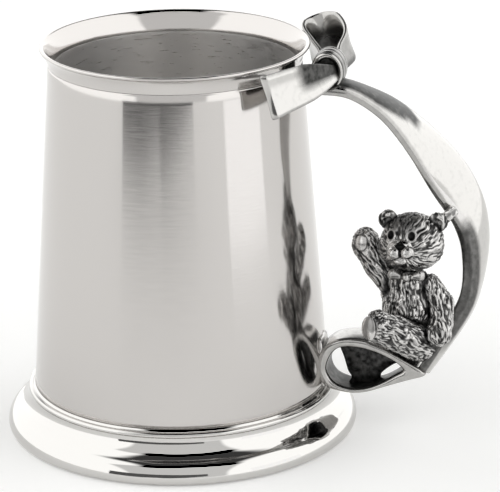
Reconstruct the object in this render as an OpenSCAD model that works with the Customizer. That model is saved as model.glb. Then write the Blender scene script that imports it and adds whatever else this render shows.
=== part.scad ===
// Pewter mug with a flared lip, a moulded foot and a cast ribbon handle on which a small bear sits.
// Origin: centre of the foot, on the plane it rests on. +Z is up, +X points through the handle.

/* [Mug] */
// Height of the lip above the table
lip_h = 80; // [64:1:100]
// Diameter over the flared lip
lip_d = 53.6; // [48:0.2:66]
// Outside diameter of the barrel at the scored line
neck_d = 50.4; // [44:0.2:60]
// Outside diameter of the barrel where it meets the foot
barrel_d = 60.2; // [50:0.2:74]
// Height of the flare, from the scored line to the lip
flare_h = 3.8; // [2.5:0.1:6]
// Thickness of the barrel wall
wall_t = 1.1; // [0.8:0.1:2]
// Depth of the scored line
score_depth = 0.25; // [0.1:0.05:0.4]
// Thickness of the floor of the cup
floor_t = 1.4; // [1:0.1:3]

/* [Foot] */
// Height of the foot, up to the barrel
foot_h = 9.4; // [7:0.1:13]
// Diameter over the foot's lower roll
foot_d = 71.6; // [66:0.2:88]
// Thickness of the spun foot
foot_t = 1.2; // [0.8:0.1:1.6]
// Leg of the solder fillet between barrel and foot
bead_r = 0.4; // [0.3:0.05:0.7]

/* [Ribbon handle] */
// Reach of the handle beyond the lip
reach = 36; // [30:1:46]
// Drop from the lip to the top face of the ribbon
ribbon_drop = 6.5; // [6:0.1:8]
// Thickness of the ribbon
ribbon_t = 2.3; // [1.6:0.1:3]
// Height of the ribbon's crown across its width
ribbon_crown = 0.7; // [0.2:0.1:1.2]

/* [Scroll] */
// Width of the scroll, across the handle
scroll_w = 7.5; // [5:0.1:10]
// Gap between the foot's top and the underside of the scroll
scroll_gap = 0.2; // [0:0.1:2]
// Thickness of the plate inside the scroll
web_t = 1.3; // [0.8:0.1:2]

/* [Bow] */
// Thickness of the bow's strip
bow_t = 1.1; // [0.8:0.1:1.6]
// Clearance between the lip and the bow
bow_clear = 0.5; // [0.3:0.1:2]
// Lean of the bow's loops back towards the lip, in degrees
bow_lean = 16; // [6:1:22]

/* [Bear] */
// Size of the bear, 1 for a bear 28 mm tall
bear_size = 1; // [0.85:0.01:1.1]

/* [Hidden] */
$fn = 96;

lip_r = lip_d / 2;
neck_r = neck_d / 2;
barrel_r = barrel_d / 2;
foot_r = foot_d / 2;
score_h = lip_h - flare_h;

// Outside radius of the barrel at height z, below the scored line
function wall_r(z) = neck_r + (barrel_r - neck_r) * (score_h - z) / (score_h - foot_h);

// Catmull-Rom point between b and c
function spline(a, b, c, d, t) = 0.5 * (2 * b + (c - a) * t + (2 * a - 5 * b + 4 * c - d) * t * t
    + (3 * b - a - 3 * c + d) * t * t * t);
// Closed and open curves through the listed points, with n steps between two of them
function closed_curve(p, n) = [for (i = [0:len(p) - 1], j = [0:n - 1])
    spline(p[(i + len(p) - 1) % len(p)], p[i], p[(i + 1) % len(p)], p[(i + 2) % len(p)], j / n)];
function open_curve(p, n) = [for (i = [0:len(p) - 2], j = [0:(i == len(p) - 2 ? n : n - 1)])
    spline(p[max(i - 1, 0)], p[i], p[i + 1], p[min(i + 2, len(p) - 1)], j / n)];
function unit(v) = v / norm(v);
function sgn_pow(x, p) = sign(x) * pow(abs(x), p);

// ---- Mug ----

module barrel() {
    color("gainsboro") rotate_extrude() polygon([[barrel_r, foot_h], [neck_r, score_h - score_depth],
        [neck_r - score_depth, score_h], [neck_r + 0.1, score_h + score_depth],
        [lip_r - 0.1, lip_h - 0.5],
        [lip_r, lip_h - 0.3], [lip_r - 0.3, lip_h], [lip_r - 0.8, lip_h], [lip_r - 1, lip_h - 0.3],
        [neck_r - wall_t, score_h - 0.4], [barrel_r - wall_t, foot_h]]);
}

// Everything inside the barrel's outer face
module barrel_core(grow = 0) {
    rotate_extrude() polygon([[0, foot_h - 1], [barrel_r + grow, foot_h - 1], [barrel_r + grow, foot_h],
        [neck_r + grow, score_h], [lip_r + grow, lip_h], [0, lip_h]]);
}

module cup_floor() {
    color("silver") translate([0, 0, foot_h - floor_t]) cylinder(h = floor_t, r = barrel_r - foot_t);
}

// Outlines of the foot, as [share of its spread beyond the barrel, share of its height]. From the table
// up, the outside is a base roll, a hollow and a small bead; the inside is the hollow under the cup.
foot_outside = [[0.63, 0], [0.86, 0.02], [0.965, 0.07], [1, 0.15], [0.99, 0.215], [0.941, 0.308],
    [0.852, 0.389], [0.731, 0.454], [0.576, 0.504], [0.414, 0.574], [0.287, 0.667], [0.205, 0.776],
    [0.18, 0.88], [0.215, 0.92], [0.215, 0.96], [0.17, 0.99], [0.09, 1]];
foot_inside = [[-0.09, 0.6], [0.09, 0.45], [0.32, 0.28], [0.44, 0.11], [0.42, 0]];
function on_foot(p) = [barrel_r + p[0] * (foot_r - barrel_r), p[1] * foot_h];

module foot_ring() {
    color("gainsboro") rotate_extrude() polygon(concat(open_curve([for (p = foot_outside) on_foot(p)], 2),
        [[barrel_r - foot_t, foot_h], [barrel_r - foot_t, foot_h - floor_t]],
        [for (p = foot_inside) on_foot(p)]));
}

module foot_solder() {
    color("silver") rotate_extrude() polygon([[barrel_r, foot_h], [barrel_r + bead_r, foot_h],
        [wall_r(foot_h + bead_r), foot_h + bead_r]]);
}

// ---- Ribbon handle ----

ribbon_z = lip_h - ribbon_drop;
scroll_z = foot_h + scroll_gap;
scroll_x = wall_r(scroll_z + 5);

// The ribbon's two outer edges, as [out, across, up], drawn for a handle that reaches 36 and rises 64
drawn_reach = 36;
drawn_rise = 64;
near_edge = [[-3, -4.4, 63.7], [3, -4.4, 64], [8, -4.1, 63.8], [11.5, -2.7, 61.8], [15.5, -1.6, 58.4],
    [18.5, -1, 54.3], [21.3, -0.7, 49.7], [23.3, 0.1, 45.2], [25.1, 1.8, 40.7], [27.4, 3.6, 36.2],
    [29.8, 4.6, 31.8], [30.6, 4.2, 28.5], [31, 3.4, 24.2], [30.8, 2.2, 20.5], [29.8, 0.8, 17.6],
    [27.5, -1, 14], [24.6, -2.8, 9.7], [21.6, -3.8, 5.2]];
far_edge = [[-3, 4.6, 63.7], [3, 4.6, 64], [7.6, 5.1, 63], [10.8, 8, 61], [14.6, 10.6, 58.8],
    [18.8, 12.2, 55.5], [23.1, 13, 51.7], [27.1, 13.2, 47.4], [30.3, 13.3, 42.8], [32.6, 13.3, 37.2],
    [33.5, 13, 31.8], [33.3, 12.4, 27], [32.4, 11.2, 22.5], [31.2, 9.7, 19], [30.2, 8.2, 15.8],
    [27.8, 6.3, 11.8], [24.8, 4.3, 8], [21, 2.9, 3.6]];
// Overhang of the lip beyond the scroll's root, which the handle leans over as it rises
lean = lip_r - scroll_x;
function on_handle(p) = [scroll_x + p[0] * reach / drawn_reach + lean * p[2] / drawn_rise, p[1],
    scroll_z + p[2] * (ribbon_z - scroll_z) / drawn_rise];
curve_steps = 4;
near_curve = open_curve([for (p = near_edge) on_handle(p)], curve_steps);
far_curve = open_curve([for (p = far_edge) on_handle(p)], curve_steps);
ribbon_sides = 24;

// Section of the ribbon at step i: a crowned strip with rounded edges, hung below its two outer edges
function ribbon_ring(i) = let(
    last = len(near_curve) - 1,
    n = near_curve[i],
    f = far_curve[i],
    along = near_curve[min(i + 1, last)] + far_curve[min(i + 1, last)]
        - near_curve[max(i - 1, 0)] - far_curve[max(i - 1, 0)],
    across = unit(f - n),
    out = unit(cross(along, across)),
    half_w = norm(f - n) / 2,
    half_t = ribbon_t / 2)
    [for (k = [0:ribbon_sides - 1]) let(
        a = 360 * k / ribbon_sides,
        s = sgn_pow(cos(a), 0.5),
        u = sgn_pow(sin(a), 0.5))
        (n + f) / 2 + across * half_w * s + out * (half_t * (u - 1) + ribbon_crown * (1 - s * s))];

module ribbon_solid() {
    steps = len(near_curve);
    points = [for (i = [0:steps - 1], p = ribbon_ring(i)) p];
    m = ribbon_sides;
    sides = [for (i = [0:steps - 2], k = [0:m - 1], half = [0:1]) let(
        a = i * m + k, b = i * m + (k + 1) % m, c = b + m, d = a + m)
        half == 0 ? [a, c, b] : [a, d, c]];
    ends = [[for (k = [0:m - 1]) k], [for (k = [m - 1:-1:0]) (steps - 1) * m + k]];
    polyhedron(points, concat(sides, ends));
}

module handle_ribbon() {
    color("lightgray") difference() {
        ribbon_solid();
        barrel_core();
        scroll_block();
    }
}

// ---- Scroll ----

// Outlines of the scroll as [out from the wall, up from its underside]
scroll_outer = [[-1, 4.9], [-0.5, 2.6], [0.6, 1], [3.1, 0.1], [6.5, -0.2], [9.6, 0.3], [13.6, 1.8],
    [17.9, 3.3], [20.9, 4.3], [21, 5.2], [19.3, 6.4], [16.4, 8], [13.6, 9.5], [10.8, 10.6], [9, 11.3],
    [6, 11.5], [3.1, 11], [0.9, 9.7], [-0.6, 7.5]];
scroll_inner = [[1.1, 4.6], [1.7, 7], [3.1, 8.9], [5.1, 9.6], [8, 9.5], [10.8, 8.9], [13.6, 7.8],
    [15.3, 6.7], [16.4, 5.3], [14.7, 4], [12.2, 2.4], [9.6, 1.2], [6.5, 0.7], [3.7, 1.3], [2, 2.5]];
scroll_near = -4;

module scroll_plate(outline, y, t) {
    translate([scroll_x, y + t, scroll_z]) rotate([90, 0, 0]) linear_extrude(t)
        polygon(closed_curve(outline, 3));
}

module scroll_block() {
    scroll_plate(scroll_outer, scroll_near, scroll_w);
}

module handle_scroll() {
    color("lightgray") difference() {
        scroll_block();
        scroll_plate(scroll_inner, scroll_near - 1, scroll_w + 2);
        barrel_core();
    }
}

// Funnel-shaped plate that ties the top of the scroll to its underside
module scroll_web() {
    color("dimgray") intersection() {
        scroll_plate(scroll_inner, scroll_near + scroll_w / 2, web_t);
        translate([scroll_x, 0, scroll_z]) rotate([90, 0, 0]) linear_extrude(scroll_w * 2, center = true)
            polygon([[3.5, 11], [16.5, 7.2], [14, 5.4], [12.2, 3.8], [11, 2.4], [11.3, 0],
                [5.2, 0], [5.9, 1.6], [4.8, 4.4], [4.4, 7.4]]);
    }
}

// ---- Solder ----

module upper_solder() {
    color("silver") difference() {
        hull() {
            translate([wall_r(ribbon_z) - 1, 0, ribbon_z - 1]) cube([0.2, 11, 4.2], center = true);
            translate([wall_r(ribbon_z) + 1.3, 0, ribbon_z - 1]) cube([0.2, 9.4, 3], center = true);
        }
        barrel_core();
        ribbon_solid();
    }
}

// Two wedges, above and below the place where the scroll touches the wall
module lower_solder() {
    color("silver") difference() {
        scroll_plate([[-1.4, 0.5], [0.9, 0.6], [0.3, 4.9], [0.4, 10], [-1.4, 10.4]],
            scroll_near + 0.6, scroll_w - 1.2);
        barrel_core();
        scroll_block();
    }
}

// ---- Bow ----

knot_x = lip_r + bow_clear + 3.6;
knot_z = lip_h - 4.2;
knot_r = 3.4;
knot_l = 5.8;
knot_round = 0.6;

// The knot is an oval band, taller than it is wide, that runs across the handle
module knot_solid() {
    translate([knot_x, 0, knot_z]) rotate([90, 0, 0]) scale([1, 1.22, 1]) hull() {
        cylinder(h = knot_l, r = knot_r - knot_round, center = true, $fn = 40);
        cylinder(h = knot_l - 2 * knot_round, r = knot_r, center = true, $fn = 40);
    }
}

// The knot stands on the ribbon, with nothing of it left below the ribbon
module bow_knot() {
    color("lightgray") difference() {
        knot_solid();
        ribbon_solid();
        translate([0, 0, -ribbon_t / 2]) ribbon_solid();
        barrel_core();
    }
}

// Strip folded into a loop: its plan is a ring, its height runs between two edges seen from the side, and
// it leans back over the lip. Both outlines are measured from the knot.
module bow_loop(plan, side) {
    difference() {
        translate([knot_x, 0, knot_z]) rotate([0, -bow_lean, 0]) intersection() {
            linear_extrude(40, center = true) difference() {
                polygon(closed_curve(plan, 3));
                offset(delta = -bow_t) polygon(closed_curve(plan, 3));
            }
            rotate([0, 90, 0]) linear_extrude(60, center = true) polygon([for (p = side) [-p[1], p[0]]]);
        }
        knot_solid();
        ribbon_solid();
        barrel_core(bow_clear / 2);
    }
}

module bow_loop_near() {
    color("lightgray") bow_loop([[2.2, -1], [2.2, -3], [0.9, -8], [-1.6, -13], [-5, -18], [-6.8, -20.4],
        [-8.4, -20.8], [-8.4, -18.8], [-5.8, -13.5], [-3.8, -9], [-1.5, -3], [-1.2, -1]],
        [[0, -1.7], [-3, -1.9], [-10, -2.7], [-23, -2.6], [-23, 6.6], [-12, 4.7], [-3, 1.3], [0, 1]]);
}

module bow_loop_far() {
    color("lightgray") bow_loop([[2.2, 1], [2.7, 4], [3.6, 9], [2.8, 13.4], [0.6, 17.6], [-2.4, 19.6],
        [-5.6, 18.6], [-7, 15.6], [-5, 10.4], [-2.6, 5], [-1.2, 1]],
        [[0, -1.7], [4, -1.7], [12, -1.5], [23, -0.6], [23, 7.9], [17, 7.3], [12, 5.6], [5, 3.6],
        [0, 1.2]]);
}

// ---- Bear ----

// The bear sits on the scroll and faces across the handle. Its own frame has its seat at the origin.
bear_x = scroll_x + 17.2;
bear_z = scroll_z + 6.2;
module seated() {
    translate([bear_x, 0, bear_z]) scale(bear_size) children();
}

module ball(p, r) {
    translate(p) scale(r) sphere(r = 1, $fn = 28);
}

// A limb tapers from one ball to the next
module limb(points) {
    for (i = [0:len(points) - 2]) hull() {
        translate([points[i][0], points[i][1], points[i][2]]) sphere(r = points[i][3], $fn = 24);
        translate([points[i + 1][0], points[i + 1][1], points[i + 1][2]])
            sphere(r = points[i + 1][3], $fn = 24);
    }
}

module torso_form() {
    hull() {
        ball([-0.2, 0.6, 11], [5, 4.4, 5]);
        ball([-0.2, 0.8, 16.5], [3.9, 3.6, 3.2]);
        ball([1.2, 0.4, 5.6], [5, 4.2, 3.6]);
    }
    hull() {
        ball([1.2, 0.2, 5], [4.8, 4.2, 3]);
        ball([2.6, 0, 0.8], [2.2, 2.9, 2]);
    }
}

module head_form() {
    ball([0.5, 1.6, 25.2], [6.3, 5.4, 5.3]);
}

module muzzle_form() {
    hull() {
        ball([-0.8, -3, 24], [2.6, 1.6, 2]);
        ball([-1, -3.9, 23.9], [1.9, 1.5, 1.5]);
    }
}

module bear_body() {
    color("darkgray") difference() {
        seated() torso_form();
        scroll_block();
        ribbon_solid();
    }
}

module bear_head() {
    color("darkgray") difference() {
        seated() head_form();
        seated() torso_form();
        ribbon_solid();
    }
}

module bear_muzzle() {
    color("darkgray") seated() difference() {
        muzzle_form();
        head_form();
        torso_form();
    }
}

module ear_form(x, z) {
    hull() for (y = [0.8, 2]) ball([x, y, z], [1.9, 0.7, 1.9]);
}

module bear_ears() {
    color("darkgray") difference() {
        seated() for (x = [-4.3, 5.4]) ear_form(x, 29);
        seated() head_form();
        ribbon_solid();
    }
}

// Small cast bridge from the outer ear to the ribbon, near the tenth point of the near edge
ear_touch = 10;
module ear_web() {
    touch = near_curve[ear_touch * curve_steps - 1];
    color("darkgray") difference() {
        hull() {
            seated() ball([6.2, 1.6, 29], [1, 0.9, 1.1]);
            translate(touch) scale([1.2, 0.6, 1.4]) sphere(r = 1, $fn = 24);
        }
        seated() ear_form(5.4, 29);
        seated() head_form();
        ribbon_solid();
    }
}

module tie_form() {
    ball([0.1, -4.1, 19.3], [0.9, 0.8, 0.9]);
    for (side = [-1, 1]) hull() {
        ball([0.1 + side * 0.7, -4, 19.3], [0.5, 0.5, 0.5]);
        ball([0.1 + side * 2.6, -3.7, 19.5], [0.5, 0.6, 1.3]);
    }
}

module bear_tie() {
    color("darkgray") seated() difference() {
        tie_form();
        torso_form();
        head_form();
    }
}

module raised_arm_form() {
    limb([[-3.6, 1.2, 15, 2.7], [-6.6, 2.8, 18.6, 2.6], [-9.1, 3.9, 21.8, 2.7], [-9.5, 3.8, 23.4, 2.9]]);
}

module lowered_arm_form() {
    limb([[4.2, 0.4, 16.2, 2.2], [6.6, -0.4, 12.4, 2.2], [7.1, -1.8, 9.6, 2.2], [6.8, -3.6, 7.2, 2.3]]);
}

module near_leg_form() {
    limb([[1.4, -2.6, 6, 3.2], [-2, -7.2, 8.6, 3.1], [-4.4, -10.6, 10.8, 2.8]]);
}

module far_leg_form() {
    limb([[1.4, 3.2, 6, 3], [-2, 7.4, 8, 2.8], [-4.6, 10.2, 10, 2.6]]);
}

module bear_raised_arm() {
    color("darkgray") seated() difference() {
        raised_arm_form();
        torso_form();
        head_form();
    }
}

module bear_lowered_arm() {
    color("darkgray") difference() {
        seated() lowered_arm_form();
        seated() torso_form();
        ribbon_solid();
    }
}

module bear_near_leg() {
    color("darkgray") difference() {
        seated() near_leg_form();
        seated() torso_form();
        seated() lowered_arm_form();
        scroll_block();
        ribbon_solid();
    }
}

module bear_far_leg() {
    color("darkgray") difference() {
        seated() far_leg_form();
        seated() torso_form();
        scroll_block();
        ribbon_solid();
    }
}

// Smooth oval pad on the sole of each foot
module bear_sole_pads() {
    color("silver") seated() difference() {
        for (foot = [[-4.4, -10.6, 10.8, -1], [-4.6, 10.2, 10, 1]])
            ball([foot[0] - 1.3, foot[1] + foot[3] * 1.9, foot[2] + 0.2], [1.8, 1.3, 2.3]);
        near_leg_form();
        far_leg_form();
    }
}

barrel();
cup_floor();
foot_ring();
foot_solder();
handle_ribbon();
handle_scroll();
scroll_web();
upper_solder();
lower_solder();
bow_knot();
bow_loop_near();
bow_loop_far();
bear_body();
bear_head();
bear_muzzle();
bear_ears();
bear_tie();
bear_raised_arm();
bear_lowered_arm();
bear_near_leg();
bear_far_leg();
bear_sole_pads();
ear_web();
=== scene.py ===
"""Pewter mug with a ribbon handle, a bow and a small seated bear. Lengths in the code are millimetres."""

import bpy
import numpy as np
from mathutils import Matrix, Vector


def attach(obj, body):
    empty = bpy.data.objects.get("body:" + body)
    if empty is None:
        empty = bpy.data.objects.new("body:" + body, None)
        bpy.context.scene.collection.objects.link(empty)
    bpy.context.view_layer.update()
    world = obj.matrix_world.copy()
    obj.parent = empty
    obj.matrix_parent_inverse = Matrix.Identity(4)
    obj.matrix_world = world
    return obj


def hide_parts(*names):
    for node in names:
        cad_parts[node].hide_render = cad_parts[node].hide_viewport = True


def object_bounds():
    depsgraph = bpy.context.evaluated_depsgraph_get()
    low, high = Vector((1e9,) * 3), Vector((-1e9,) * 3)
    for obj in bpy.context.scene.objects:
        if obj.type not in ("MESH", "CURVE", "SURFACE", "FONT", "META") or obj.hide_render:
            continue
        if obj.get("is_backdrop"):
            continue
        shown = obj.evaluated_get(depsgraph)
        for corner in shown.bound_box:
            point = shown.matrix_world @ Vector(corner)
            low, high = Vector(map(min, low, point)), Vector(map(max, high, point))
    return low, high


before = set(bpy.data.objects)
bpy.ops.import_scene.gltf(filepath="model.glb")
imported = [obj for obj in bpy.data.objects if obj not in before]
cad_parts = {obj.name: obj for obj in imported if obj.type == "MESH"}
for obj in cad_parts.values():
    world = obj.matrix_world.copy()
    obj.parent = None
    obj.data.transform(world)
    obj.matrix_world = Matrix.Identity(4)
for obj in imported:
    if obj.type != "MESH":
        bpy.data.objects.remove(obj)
cad_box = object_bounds()
MM = 0.001


# ---- Numbers and noise ----

def vec(*v):
    return np.array(v, float)


def unit(v):
    v = np.asarray(v, float)
    return v / np.maximum(np.linalg.norm(v, axis=-1, keepdims=True), 1e-12)


def smoothstep(a, b, x):
    t = np.clip((x - a) / (b - a), 0, 1)
    return t * t * (3 - 2 * t)


def lattice(i, j, k, seed):
    h = (i.astype(np.int64) * 374761393 + j.astype(np.int64) * 668265263
         + k.astype(np.int64) * 2147483647 + seed * 1274126177) & 0xFFFFFFFF
    h = ((h ^ (h >> 13)) * 1274126177) & 0xFFFFFFFF
    return ((h ^ (h >> 16)) & 0xFFFF) / 32767.5 - 1


def noise(p, seed=0):
    """Smooth noise from -1 to 1 at points p."""
    p = np.asarray(p, float)
    c = np.floor(p)
    t = p - c
    t = t * t * t * (t * (6 * t - 15) + 10)
    i, j, k = (c[..., n].astype(np.int64) for n in range(3))
    out = 0
    for a in (0, 1):
        for b in (0, 1):
            for d in (0, 1):
                w = ((t[..., 0] if a else 1 - t[..., 0]) * (t[..., 1] if b else 1 - t[..., 1])
                     * (t[..., 2] if d else 1 - t[..., 2]))
                out = out + w * lattice(i + a, j + b, k + d, seed)
    return out


def spline(points, n, closed=False):
    """Catmull-Rom curve through points, n steps between two of them."""
    p = np.asarray(points, float)
    m = len(p)
    out = []
    for i in range(m if closed else m - 1):
        a, b, c, d = (p[q % m] if closed else p[min(max(q, 0), m - 1)] for q in (i - 1, i, i + 1, i + 2))
        for j in range(n):
            t = j / n
            out.append(0.5 * (2 * b + (c - a) * t + (2 * a - 5 * b + 4 * c - d) * t * t
                              + (3 * b - a - 3 * c + d) * t ** 3))
    if not closed:
        out.append(p[-1])
    return np.array(out)


def even(points, n, closed=False):
    """The same curve with n points at equal distances."""
    p = np.asarray(points, float)
    if closed:
        p = np.vstack([p, p[:1]])
    s = np.concatenate([[0], np.cumsum(np.linalg.norm(np.diff(p, axis=0), axis=1))])
    at = np.linspace(0, s[-1], n + 1)[:-1] if closed else np.linspace(0, s[-1], n)
    return np.stack([np.interp(at, s, p[:, k]) for k in range(p.shape[1])], 1)


def squared(v, power):
    """A sine or cosine pushed towards -1 and 1, which squares a ring's corners."""
    return np.sign(v) * np.abs(v) ** power


# ---- Meshes ----

def piece(name, verts, faces, material, slot, nodes, tone=None):
    """A closed mesh as a named piece that stands for the listed CAD nodes."""
    mesh = bpy.data.meshes.new(name)
    mesh.from_pydata([tuple(v) for v in np.asarray(verts) * MM], [], [tuple(f) for f in faces])
    mesh.validate()
    mesh.polygons.foreach_set("use_smooth", [True] * len(mesh.polygons))
    if tone is not None:
        mesh.attributes.new("tone", "FLOAT", "POINT").data.foreach_set("value", np.asarray(tone, np.float32))
    mesh.materials.append(material)
    mesh.update()
    obj = bpy.data.objects.new(name, mesh)
    bpy.context.scene.collection.objects.link(obj)
    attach(obj, "root")
    if nodes:
        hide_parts(*nodes)
    return obj


def filleted(corners, steps=5):
    """Outline of [r, z, fillet] corners with each corner rounded."""
    out = []
    m = len(corners)
    for i, (x, y, f) in enumerate(corners):
        p = vec(x, y)
        if f <= 0:
            out.append(p)
            continue
        a, b = vec(*corners[i - 1][:2]), vec(*corners[(i + 1) % m][:2])
        f1, f2 = min(f, 0.45 * np.linalg.norm(a - p)), min(f, 0.45 * np.linalg.norm(b - p))
        s, e = p + unit(a - p) * f1, p + unit(b - p) * f2
        for j in range(steps + 1):
            t = j / steps
            out.append((1 - t) ** 2 * s + 2 * t * (1 - t) * p + t * t * e)
    return np.array(out)


def lathe(outline, n=256):
    """Ring of revolution of a closed outline of [r, z], run anticlockwise."""
    a = np.arange(n) * 2 * np.pi / n
    m = len(outline)
    v = np.stack([np.outer(np.cos(a), outline[:, 0]), np.outer(np.sin(a), outline[:, 0]),
                  np.repeat(outline[None, :, 1], n, 0)], -1).reshape(-1, 3)
    f = [(i * m + j, ((i + 1) % n) * m + j, ((i + 1) % n) * m + (j + 1) % m, i * m + (j + 1) % m)
         for i in range(n) for j in range(m)]
    return v, f


def disc(outline, n=256):
    """Solid of revolution of an open outline from the axis to the axis."""
    a = np.arange(n) * 2 * np.pi / n
    inner = outline[1:-1]
    m = len(inner)
    v = np.stack([np.outer(np.cos(a), inner[:, 0]), np.outer(np.sin(a), inner[:, 0]),
                  np.repeat(inner[None, :, 1], n, 0)], -1).reshape(-1, 3)
    v = np.vstack([v, [[0, 0, outline[0, 1]], [0, 0, outline[-1, 1]]]])
    f = [(i * m + j, ((i + 1) % n) * m + j, ((i + 1) % n) * m + j + 1, i * m + j + 1)
         for i in range(n) for j in range(m - 1)]
    f += [(n * m, ((i + 1) % n) * m, i * m) for i in range(n)]
    f += [(n * m + 1, i * m + m - 1, ((i + 1) % n) * m + m - 1) for i in range(n)]
    return v, f


def tube(rings, closed=False):
    """Mesh through a list of equal rings, closed into a loop or capped at its ends."""
    m = len(rings[0])
    n = len(rings)
    v = np.vstack(rings)
    f = [(i * m + k, i * m + (k + 1) % m, ((i + 1) % n) * m + (k + 1) % m, ((i + 1) % n) * m + k)
         for i in range(n if closed else n - 1) for k in range(m)]
    if not closed:
        v = np.vstack([v, [rings[0].mean(0)], [rings[-1].mean(0)]])
        f += [(n * m, (k + 1) % m, k) for k in range(m)]
        f += [(n * m + 1, (n - 1) * m + k, (n - 1) * m + (k + 1) % m) for k in range(m)]
    return v, f


def outward(v, f):
    """Faces turned so that the closed mesh has a positive volume."""
    v = np.asarray(v)
    total = 0.0
    for q in f:
        for a, b in zip(q[1:-1], q[2:]):
            total += np.dot(v[q[0]], np.cross(v[a], v[b]))
    return v, (f if total > 0 else [tuple(reversed(q)) for q in f])


# ---- Sculpted fields: distance below zero inside ----

def ellipsoid(p, c, r):
    q = (p - vec(*c)) / vec(*r)
    k0 = np.linalg.norm(q, axis=-1)
    k1 = np.linalg.norm(q / vec(*r), axis=-1)
    return k0 * (k0 - 1) / np.maximum(k1, 1e-9)


def cone(p, a, b, ra, rb):
    a, b = vec(*a), vec(*b)
    ab = b - a
    t = np.clip(((p - a) @ ab) / (ab @ ab), 0, 1)
    return np.linalg.norm(p - a - t[..., None] * ab, axis=-1) - (ra + (rb - ra) * t)


def join(a, b, k):
    h = np.clip(0.5 + 0.5 * (b - a) / k, 0, 1)
    return b * (1 - h) + a * h - k * h * (1 - h)


def cut(a, b, k=0.15):
    return -join(-a, b, k)


def sculpt(field, lo, hi, step):
    """Closed mesh on the zero of a field, as vertices, faces and outward directions."""
    lo, hi = vec(*lo), vec(*hi)
    n = 4 * np.ceil((hi - lo) / step / 4).astype(int) + 1
    axes = [lo[k] + step * np.arange(n[k]) for k in range(3)]
    grid = np.stack(np.meshgrid(*axes, indexing="ij"), -1)
    rough = grid[::4, ::4, ::4]
    value = field(rough.reshape(-1, 3)).reshape(rough.shape[:3])
    value = value[np.ix_(*[(np.arange(k) + 2) // 4 for k in n])]
    close = np.abs(value) < 5 * step
    value[close] = field(grid[close])
    inside = value < 0
    total = np.zeros(tuple(n - 1) + (3,))
    count = np.zeros(tuple(n - 1))
    for axis in range(3):
        others = [k for k in range(3) if k != axis]
        for a in (0, 1):
            for b in (0, 1):
                s0, s1 = [None] * 3, [None] * 3
                s0[axis], s1[axis] = slice(0, -1), slice(1, None)
                for k, o in zip(others, (a, b)):
                    s0[k] = s1[k] = slice(o, n[k] - 1 + o)
                f0, f1 = value[tuple(s0)], value[tuple(s1)]
                hit = inside[tuple(s0)] != inside[tuple(s1)]
                t = np.where(hit, f0 / np.where(f0 == f1, 1, f0 - f1), 0)
                total[..., axis] += t
                total[..., others[0]] += a * hit
                total[..., others[1]] += b * hit
                count += hit
    live = count > 0
    index = -np.ones(live.shape, int)
    index[live] = np.arange(live.sum())
    v = lo + step * (np.argwhere(live) + total[live] / count[live][:, None])
    faces = []
    for axis in range(3):
        u, w = (axis + 1) % 3, (axis + 2) % 3
        s0, s1 = [slice(None)] * 3, [slice(None)] * 3
        s0[axis], s1[axis] = slice(0, -1), slice(1, None)
        a, b = inside[tuple(s0)], inside[tuple(s1)]
        at = np.argwhere(a != b)
        at = at[(at[:, u] > 0) & (at[:, w] > 0) & (at[:, u] < n[u] - 1) & (at[:, w] < n[w] - 1)]
        du, dw = np.eye(3, dtype=int)[u], np.eye(3, dtype=int)[w]
        q = np.stack([index[tuple((at - x).T)] for x in (du + dw, dw, 0 * du, du)], 1)
        flip = ~a[tuple(at.T)]
        q[flip] = q[flip][:, ::-1]
        faces.append(q)
    e = step * 0.25
    for _ in range(2):
        g, f0 = gradient(field, v, e)
        v = v - np.clip(f0, -step, step)[:, None] * g
    return v, np.vstack(faces), gradient(field, v, e)[0]


def gradient(field, v, e):
    g = np.stack([field(v + d) - field(v - d) for d in np.eye(3) * e], -1)
    return unit(g), field(v)


# ---- Materials ----

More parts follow.
